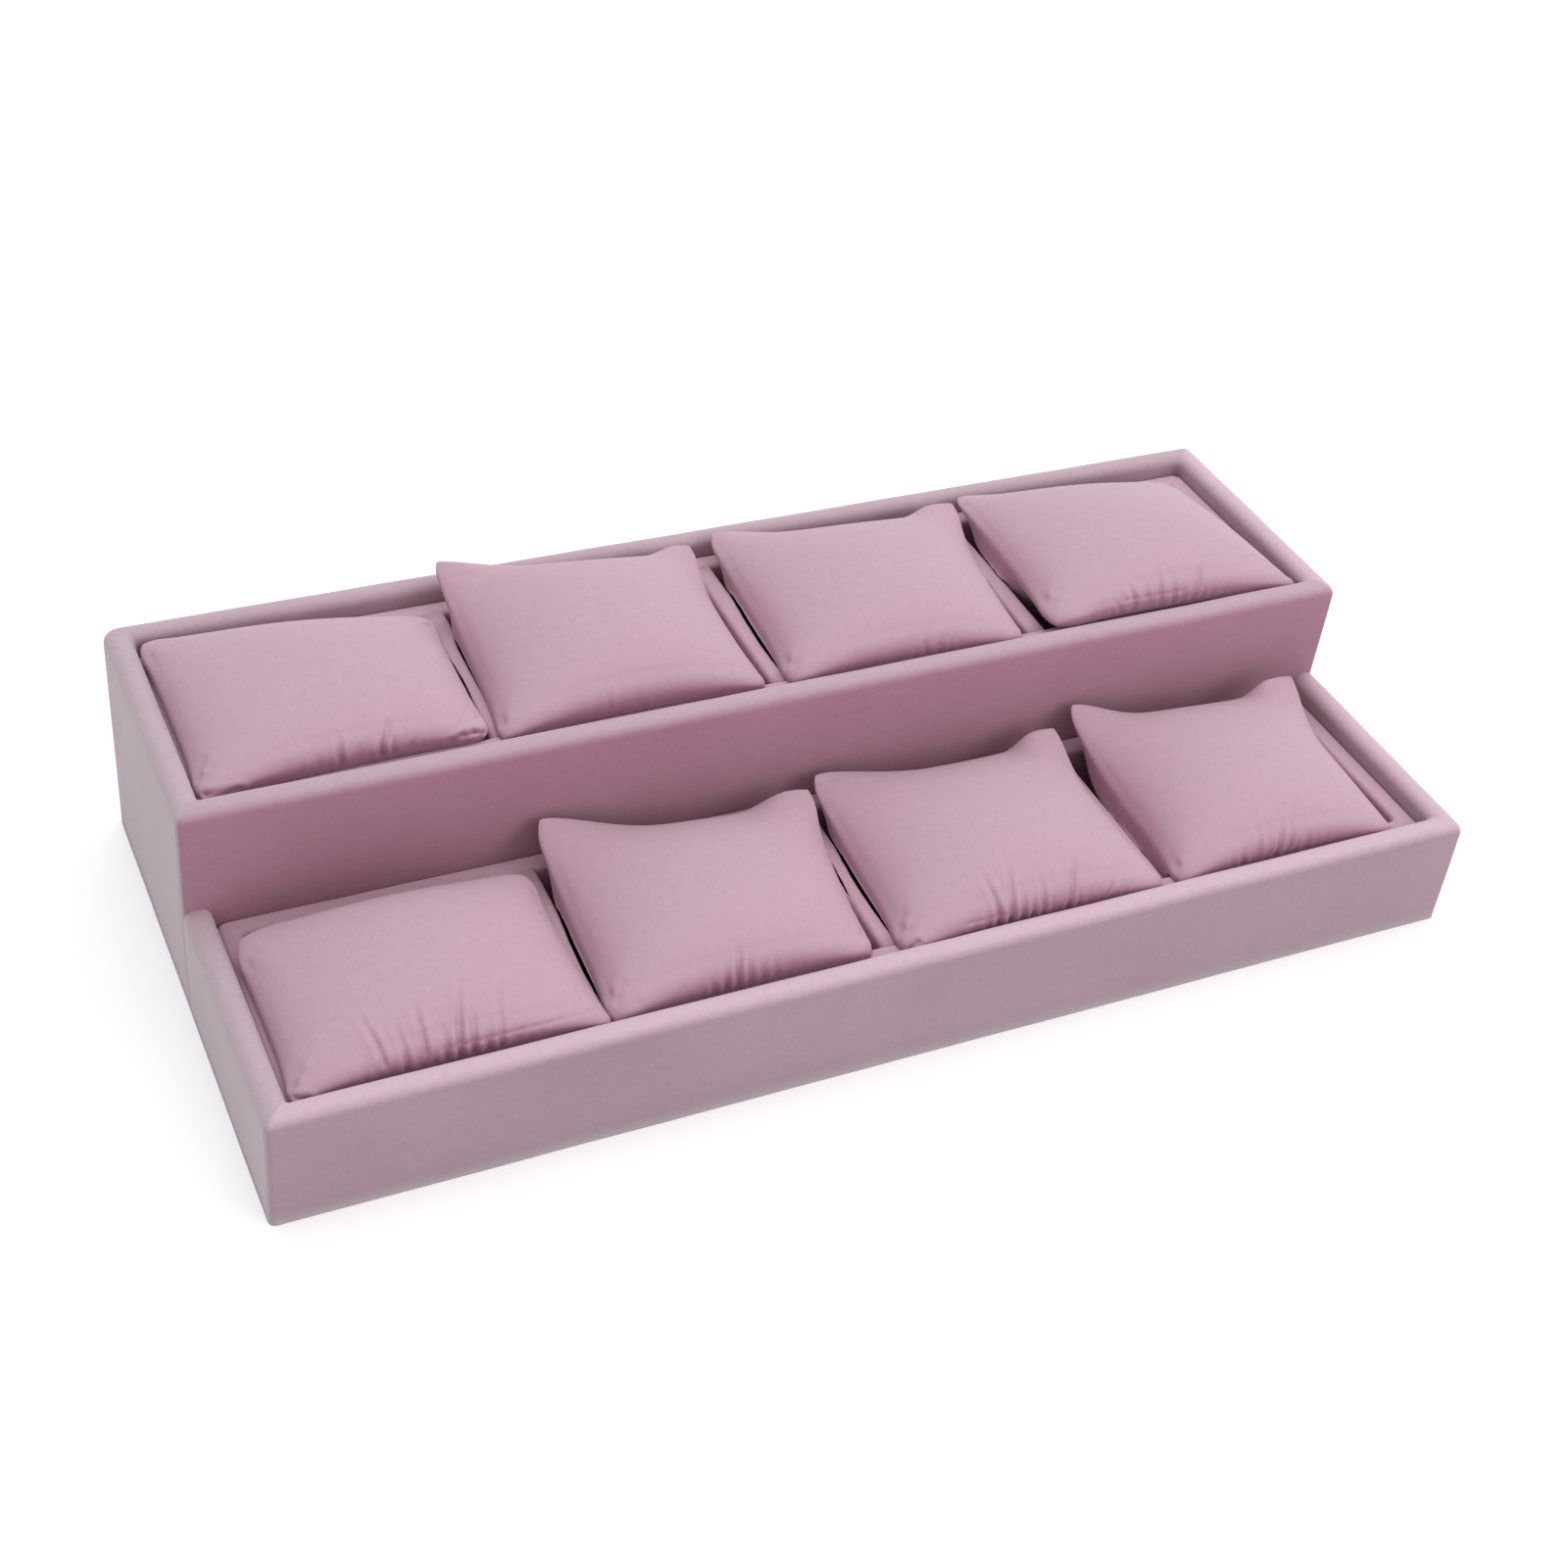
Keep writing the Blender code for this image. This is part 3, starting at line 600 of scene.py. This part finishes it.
def seam_corners(name, pocket):
    """The four sewn corners of a pillow's solid: back left, back right, front right, front left."""
    low, high = pocket
    points = [v.co.copy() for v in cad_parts[name].data.vertices]
    corners = []
    ways = ((-1, 1), (1, 1), (1, -1), (-1, -1))
    for (x_way, y_way), (right, back, up) in zip(ways, PILLOW_LIE[name]):
        x = (high.x if x_way > 0 else low.x) + x_way * PILLOW_OVER_STRIP_X + right * MM
        y = (high.y if y_way > 0 else low.y) + y_way * PILLOW_OVER_STRIP_Y + back * MM
        place = Vector((x, y, high.z + SEAM_OVER_STRIP + up * MM))
        corners.append(min(points, key=lambda point: (point - place).length))
    return [corner + Vector((right * MM, back * MM, 0))
            for corner, (right, back) in zip(corners, TIPS_REACH)]


def near_corner(u, v, spread):
    """One at each corner, and zero from this far along the seams and inward."""
    return np.clip((np.abs(u) + np.abs(v) - 2 + spread) / spread, 0, 1) ** 2


def smooth_step(value, start, end):
    """Zero up to the start, one from the end, and an even ease between them."""
    share = np.clip((value - start) / (end - start), 0, 1)
    return share * share * (3 - 2 * share)


def seam_sheet(name, corners, u, v):
    """The sheet that the sewn outline spans. u runs left to right and v front to back."""
    back_left, back_right, front_right, front_left = (np.array(c) for c in corners)
    roundings = ROUNDER_CORNERS.get(name, (EAR_ROUNDING,) * 4)
    rounding = np.where(v > 0, np.where(u < 0, roundings[0], roundings[1]),
                        np.where(u > 0, roundings[2], roundings[3]))
    ear = 1 + EAR_LENGTH * near_corner(u, v, EAR_SPREAD)
    ear -= EAR_ROUNDING_SHARE * rounding * near_corner(u, v, rounding)
    across, along = ((u * ear + 1) / 2)[..., None], ((v * ear + 1) / 2)[..., None]
    back = back_left + (back_right - back_left) * across
    front = front_left + (front_right - front_left) * across
    point = front + (back - front) * along
    sag, left_ear, right_ear, back_drawn_in, _ = BACK_SEAMS[name]
    drawn_in = np.where(v > 0, back_drawn_in * MM, FRONT_SEAM_DRAWN_IN)
    point[..., 1] -= drawn_in * np.clip(1 - u * u, 0, 1) * v ** 3
    climb = (v + 1) / 2
    ear_height = np.where(u < 0, smooth_step(-u, *left_ear), smooth_step(u, *right_ear))
    side = u * u + (ear_height - u * u) * climb ** 3
    settled = side * climb ** LIFTED_CORNER_CURVE + (1 - side) * (1 - sag) * climb
    point[..., 2] = front[..., 2] + (back[..., 2] - front[..., 2]) * settled
    return point


def crown(u, v, at_back):
    """Share of the fullness: zero at the seam, plump to the front and thin to the back."""
    return ((1 - u * u) ** CROWN_AT_SIDES * (1 + v) ** CROWN_AT_FRONT
            * (1 - v) ** at_back)


def grid_lines(counts, crowding):
    """Places of the case's columns and rows from -1 to 1, closer together at the seams."""
    lines = []
    for count, degrees in zip(counts, crowding):
        widest = math.radians(degrees)
        line = np.sin(np.linspace(-1, 1, count + 1) * widest) / math.sin(widest)
        lines.append(np.clip(line, -1, 1))
    return lines


def top_sheet(name, corners, u, v):
    """The upper half of the case: plump, and overhanging its front seam a little."""
    point = seam_sheet(name, corners, u, v)
    point[..., 2] += PILLOW_CROWN * crown(u, v, BACK_SEAMS[name][-1])
    near_front = np.clip((v + 1) / FRONT_OVERHANG_REACH, 0, 1)
    overhang = np.sin(math.pi * near_front ** FRONT_OVERHANG_PEAK) * (1 - u ** 4)
    point[..., 1] -= FRONT_OVERHANG * overhang
    return point


def under_sheet(name, corners, pocket, u, v):
    """The lower half of the case: it bellies down from the seam into its pocket."""
    low, high = pocket
    point = seam_sheet(name, corners, u, v)
    seam = point[..., 2].copy()
    ears = np.clip((v + 1) / 2, 0, 1) ** 3
    bluntness = BELLY_AT_SEAM + (BELLY_AT_EARS - BELLY_AT_SEAM) * ears
    lifted = np.clip((seam - high.z - 2 * SEAM_OVER_STRIP) / LIFTED_FRONT, 0, 1)
    bluntness += LIFTED_BLUNTNESS * lifted * np.clip(-v, 0, 1)
    point[..., 2] -= PILLOW_BELLY * ((1 - u * u) * (1 - v * v)) ** bluntness
    fallen = np.clip((seam - point[..., 2]) / FLANK_FALL, 0, 1)
    to_left = point[..., 0] - low.x + FLANK_OVER_STRIP
    to_right = high.x + FLANK_OVER_STRIP - point[..., 0]
    room = np.clip(np.where(u < 0, to_left, to_right), 0, FLANK_BULGE)
    point[..., 0] += room * (1 - np.cos(fallen * math.pi / 2)) * (1 - v ** 6) * u ** 5
    inside_x = np.minimum(point[..., 0] - low.x, high.x - point[..., 0])
    inside_y = np.minimum(point[..., 1] - low.y, high.y - point[..., 1])
    inside = np.minimum(inside_x, inside_y) - POCKET_TO_PILLOW
    on_strip = high.z + PILLOW_TO_STRIP
    fall = np.clip(inside / MOUTH_WIDTH, 0, 1)
    clear = on_strip - (on_strip - low.z - PILLOW_TO_STRIP) * fall ** 2
    point[..., 2] = np.minimum(np.maximum(point[..., 2], clear), seam - CASE_THICKNESS)
    return point


def case_mesh(name, top, under):
    """A closed case from its two sheets, sewn together along their edges."""
    rows, columns = top.shape[:2]
    sewn = np.zeros((rows, columns), bool)
    sewn[[0, -1], :] = True
    sewn[:, [0, -1]] = True
    upper = np.arange(rows * columns).reshape(rows, columns)
    lower = upper.copy()
    lower[~sewn] = rows * columns + np.arange(np.count_nonzero(~sewn))
    points = np.concatenate([top.reshape(-1, 3), under[~sewn]])
    faces = []
    for r in range(rows - 1):
        for c in range(columns - 1):
            faces.append((upper[r, c], upper[r, c + 1], upper[r + 1, c + 1], upper[r + 1, c]))
            faces.append((lower[r, c], lower[r + 1, c], lower[r + 1, c + 1], lower[r, c + 1]))
    mesh = bpy.data.meshes.new(name)
    mesh.from_pydata(points.tolist(), [], [tuple(int(i) for i in f) for f in faces])
    return mesh


def crease_lines(name, u, v):
    """Each crease's distance across it, how far along it each point is, and its depth."""
    for start, finish, reach, depth in CREASES[name]:
        along = (v + 1) / (reach + 1)
        yield u - start - (finish - start) * along, along, depth


def gathered_share(name, u, v):
    """How much spare cloth there is: most where the front seam is gathered."""
    share = np.zeros(u.shape)
    for across, along, depth in crease_lines(name, u, v):
        near = np.exp(-(across / GATHERED_WIDTH) ** 2)
        share += depth * near * np.clip(GATHERED_REACH - along, 0, 1)
    return np.clip(share, 0, 1)


def folds(name, top, u, v):
    """Height of the folds and tucks near the corners."""
    height = np.zeros(u.shape)
    for u0, v0, u1, v1, depth in FOLDS.get(name, ()):
        ends = [top[np.abs(v[:, 0] - y).argmin(), np.abs(u[0] - x).argmin()]
                for x, y in ((u0, v0), (u1, v1))]
        run = ends[1] - ends[0]
        along = np.clip(((top - ends[0]) @ run) / (run @ run), 0, 1)
        away = np.linalg.norm(top - ends[0] - along[..., None] * run, axis=-1)
        lip = np.exp(-((away - 2 * FOLD_WIDTH) / FOLD_WIDTH) ** 2)
        height += depth * MM * (FOLD_LIP_SHARE * lip - np.exp(-(away / FOLD_WIDTH) ** 2))
    return height


def seam_details(name, from_seam, along_seam, u, crowd):
    """Height of the scallops of a gathered front seam, and of the stitches of its lip."""
    wave = np.cos(2 * math.pi * along_seam / SEAM_SCALLOP_PITCH)
    height = SEAM_SCALLOP * wave * crowd * np.exp(-(from_seam / SEAM_SCALLOP_REACH) ** 2)
    if name in STITCHED:
        first, last = STITCHED[name]
        shown = (np.clip((u - first) / STITCHES_FADE, 0, 1)
                 * np.clip((last - u) / STITCHES_FADE, 0, 1))
        stitch = np.exp(-((from_seam - STITCH_ABOVE_SEAM) / STITCH_WIDTH) ** 2)
        height -= STITCH_DEPTH * shown * stitch * (1 - STITCH_WAVE + STITCH_WAVE * wave)
    return height


def creased(name, top, u, v):
    """The upper sheet with its creases, folds and gathered front seam pressed in."""
    half_width = (top[0, -1, 0] - top[0, 0, 0]) / 2
    height = folds(name, top, u, v)
    crowd = np.zeros(u.shape)
    for across, along, depth in crease_lines(name, u, v):
        away = across * half_width
        fade = (np.clip(1 - along, 0, 1) ** CREASE_FADE
                * np.clip(CREASE_AT_SEAM + along / CREASE_GROWTH, 0, 1))
        groove = np.exp(-(away / CREASE_WIDTH) ** 2)
        lip = np.exp(-((np.abs(away) - CREASE_LIP) / CREASE_WIDTH) ** 2)
        height += depth * MM * fade * (CREASE_LIP_SHARE * lip - groove)
        crowd = np.maximum(crowd, depth * np.exp(-(away / SCALLOPS_FADE) ** 2))
    steps = np.linalg.norm(np.diff(top, axis=0, prepend=top[:1]), axis=-1)
    from_seam = np.cumsum(steps, axis=0)
    height += seam_details(name, from_seam, u * half_width, u, crowd)
    height *= np.clip(from_seam / PLAIN_SEAM, 0, 1)
    normal = np.cross(np.gradient(top, axis=1), np.gradient(top, axis=0))
    normal /= np.maximum(np.linalg.norm(normal, axis=-1, keepdims=True), 1e-12)
    edge = np.clip((1 - np.abs(u)) / PLAIN_SIDES, 0, 1)
    return top + normal * (height * edge)[..., None]


def stuffed(name, top, under, gathered):
    """How the stuffing moves the upper sheet as it presses the case out from within."""
    piece = new_object(name + "_stuffing", case_mesh(name + "_stuffing", top, under))
    rows, columns = top.shape[:2]
    held = piece.vertex_groups.new(name="held")
    spare = piece.vertex_groups.new(name="spare")
    free = np.zeros((rows, columns), bool)
    free[1:-1, 1:-1] = True
    moving = set(np.flatnonzero(free.ravel()).tolist())
    held.add([k for k in range(len(piece.data.vertices)) if k not in moving], 1.0, "REPLACE")
    for k, share in enumerate(gathered.ravel().tolist()):
        spare.add([k], share, "REPLACE")
    cloth = piece.modifiers.new("stuffing", "CLOTH")
    settings = cloth.settings
    for key, value in CLOTH_SETTINGS.items():
        setattr(settings, key, value)
    settings.vertex_group_mass = "held"
    settings.vertex_group_shrink = "spare"
    settings.effector_weights.gravity = 0.0
    cloth.collision_settings.use_collision = False
    for number in range(1, STUFFING_FRAMES + 1):
        bpy.context.scene.frame_set(number)
    settled = piece.evaluated_get(bpy.context.evaluated_depsgraph_get())
    after = np.array([v.co for v in settled.data.vertices[:rows * columns]])
    bpy.data.objects.remove(piece, do_unlink=True)
    bpy.context.scene.frame_set(1)
    moved = after.reshape(rows, columns, 3) - top
    far = np.linalg.norm(moved, axis=-1, keepdims=True)
    return moved * np.minimum(1, STUFFING_REACH / np.maximum(far, 1e-9))


def finer_along(points):
    """Points on a smooth curve through a row of points, FINER times as close together."""
    before = 2 * points[0] - points[1]
    after = 2 * points[-1] - points[-2]
    p = np.concatenate([before[None], points, after[None]])
    t = (np.arange(FINER) / FINER)[None, :, None, None]
    a, b, c, d = (p[k:len(p) - 3 + k][:, None] for k in range(4))
    curve = (2 * b + (c - a) * t + (2 * a - 5 * b + 4 * c - d) * t * t
             + (3 * b - a - 3 * c + d) * t ** 3) / 2
    flat = curve.reshape(-1, *points.shape[1:])
    return np.concatenate([flat, points[-1:]])


def finer_sheet(points):
    """A smooth sheet, made finer along its rows and its columns."""
    return finer_along(finer_along(points).transpose(1, 0, 2)).transpose(1, 0, 2)


def between(lines, values, new_lines):
    """Values given on one grid, found on another."""
    rows = np.array([[np.interp(new_lines[0], lines[0], row[:, k]) for k in range(3)]
                     for row in values]).transpose(0, 2, 1)
    columns = np.array([[np.interp(new_lines[1], lines[1], rows[:, c, k]) for k in range(3)]
                        for c in range(rows.shape[1])])
    return columns.transpose(2, 0, 1)


def make_pillow(name, tier, number, material):
    """A sewn case, stuffed and laid in its pocket."""
    pocket = pocket_of(tier, number)
    corners = seam_corners(name, pocket)
    fine = grid_lines(FINE_GRID, FINE_GRID_CROWDING)
    u, v = np.meshgrid(*fine)
    top = top_sheet(name, corners, u, v)
    coarse_u, coarse_v = np.meshgrid(*grid_lines(CASE_GRID, CASE_GRID_CROWDING))
    coarse = top_sheet(name, corners, coarse_u, coarse_v)
    under = under_sheet(name, corners, pocket, coarse_u, coarse_v)
    moved = stuffed(name, coarse, under, gathered_share(name, coarse_u, coarse_v))
    finer = grid_lines([count * FINER for count in CASE_GRID], CASE_GRID_CROWDING)
    top += between(finer, finer_sheet(moved), fine)
    top = creased(name, top, u, v)
    mesh = case_mesh(name + "_case", top, under_sheet(name, corners, pocket, u, v))
    mesh.shade_smooth()
    mesh.materials.append(material)
    piece = new_object(name + "_case", mesh)
    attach(piece, BODY)
    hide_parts(name)


def make_pillows(material):
    for tier in ("lower", "upper"):
        for number in (1, 2, 3, 4):
            make_pillow(f"{tier}_pillow_{number}", tier, number, material)


# Camera, floor and lights

def make_camera():
    """The photograph's camera: aimed, then rolled about its own line of sight."""
    azimuth, elevation = CAMERA_AZIMUTH, CAMERA_ELEVATION
    back = Vector((math.sin(azimuth) * math.cos(elevation),
                   -math.cos(azimuth) * math.cos(elevation), math.sin(elevation)))
    right = Vector((0, 0, 1)).cross(back).normalized()
    up = back.cross(right)
    turned_right = math.cos(CAMERA_ROLL) * right + math.sin(CAMERA_ROLL) * up
    turned_up = -math.sin(CAMERA_ROLL) * right + math.cos(CAMERA_ROLL) * up
    camera = new_object("photo_camera", bpy.data.cameras.new("photo_camera"))
    camera.data.sensor_width = CAMERA_SENSOR
    camera.data.lens = CAMERA_LENS
    camera.data.clip_start = CAMERA_CLIP_START
    eye = CAMERA_EYE_FROM_FRONT + Vector((0, TRAY_FRONT, 0))
    axes = Matrix((turned_right, turned_up, back)).transposed()
    camera.matrix_world = Matrix.Translation(eye) @ axes.to_4x4()
    bpy.context.scene.camera = camera


def floor_material():
    """White paper that keeps the tray's shadow and shows as white to the camera."""
    material = bpy.data.materials.new("white_paper")
    material.use_nodes = True
    tree = material.node_tree
    tree.nodes.clear()
    out = tree.nodes.new("ShaderNodeOutputMaterial")
    paper = add_node(tree, "ShaderNodeBsdfDiffuse", Color=PAPER_COLOUR)
    lift = add_node(tree, "ShaderNodeEmission", Color=WHITE)
    seen = tree.nodes.new("ShaderNodeLightPath")
    amount = add_node(tree, "ShaderNodeMath", operation="MULTIPLY")
    amount.inputs[1].default_value = PAPER_LIFT
    both = tree.nodes.new("ShaderNodeAddShader")
    tree.links.new(seen.outputs["Is Camera Ray"], amount.inputs[0])
    tree.links.new(amount.outputs[0], lift.inputs["Strength"])
    tree.links.new(paper.outputs[0], both.inputs[0])
    tree.links.new(lift.outputs[0], both.inputs[1])
    tree.links.new(both.outputs[0], out.inputs["Surface"])
    return material


def make_floor():
    bm = bmesh.new()
    bmesh.ops.create_grid(bm, x_segments=1, y_segments=1, size=PAPER_HALF_SIZE)
    mesh = bpy.data.meshes.new("paper_floor")
    bm.to_mesh(mesh)
    bm.free()
    mesh.materials.append(floor_material())
    floor = new_object("paper_floor", mesh)


def area_light(name, place, target, size, power):
    light = bpy.data.lights.new(name, "AREA")
    light.shape = "SQUARE"
    light.size = size
    light.energy = power
    lamp = new_object(name, light)
    lamp.location = place
    lamp.rotation_mode = "QUATERNION"
    lamp.rotation_quaternion = (Vector(target) - Vector(place)).to_track_quat("-Z", "Y")


def make_light():
    """A softly lit room that shows as white, and two softboxes."""
    world = bpy.data.worlds.new("studio")
    bpy.context.scene.world = world
    world.use_nodes = True
    tree = world.node_tree
    tree.nodes.clear()
    out = tree.nodes.new("ShaderNodeOutputWorld")
    soft = add_node(tree, "ShaderNodeBackground", Color=WHITE, Strength=ROOM_LIGHT)
    white = add_node(tree, "ShaderNodeBackground", Color=WHITE, Strength=1.0)
    seen = tree.nodes.new("ShaderNodeLightPath")
    shown = tree.nodes.new("ShaderNodeMixShader")
    tree.links.new(seen.outputs["Is Camera Ray"], shown.inputs[0])
    tree.links.new(soft.outputs[0], shown.inputs[1])
    tree.links.new(white.outputs[0], shown.inputs[2])
    tree.links.new(shown.outputs[0], out.inputs["Surface"])
    for name, (place, target, size, power) in SOFTBOXES.items():
        area_light(name, place, target, size, power)


def dress_solids(velvets):
    """Materials for the solids that stay, and plain ones under those that are replaced."""
    fibreboard = plain_material("fibreboard", (0.36, 0.26, 0.17), (0.50, 0.40, 0.29), 900.0, 0.85)
    base_felt = plain_material("base_felt", (0.10, 0.07, 0.09), (0.20, 0.15, 0.17), 1200.0, 0.95)
    for node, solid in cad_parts.items():
        # Insert floors take the insert velvet, lightened with painted light
        finish = velvets["insert_velvet"] if node.endswith("floor") else fibreboard
        if node == "base_cover":
            finish = base_felt
        for place in solid.material_slots:
            place.material = finish


# Without a seed, the noise behind the uneven velvet starts from the clock
noise.seed_set(VELVET_SEED)

all_velvets = {name: velvet(name, *look) for name, look in VELVETS.items()}
dress_solids(all_velvets)
make_camera()
make_floor()
make_light()
make_walls(all_velvets)
# Strips and dividers take the insert velvet, lightened with painted light in the shaded gaps
for tier_name in ("lower", "upper"):
    make_insert(tier_name, all_velvets["insert_velvet"])
make_pillows(all_velvets["pillow_velvet"])

bpy.context.scene.view_settings.view_transform = "Standard"
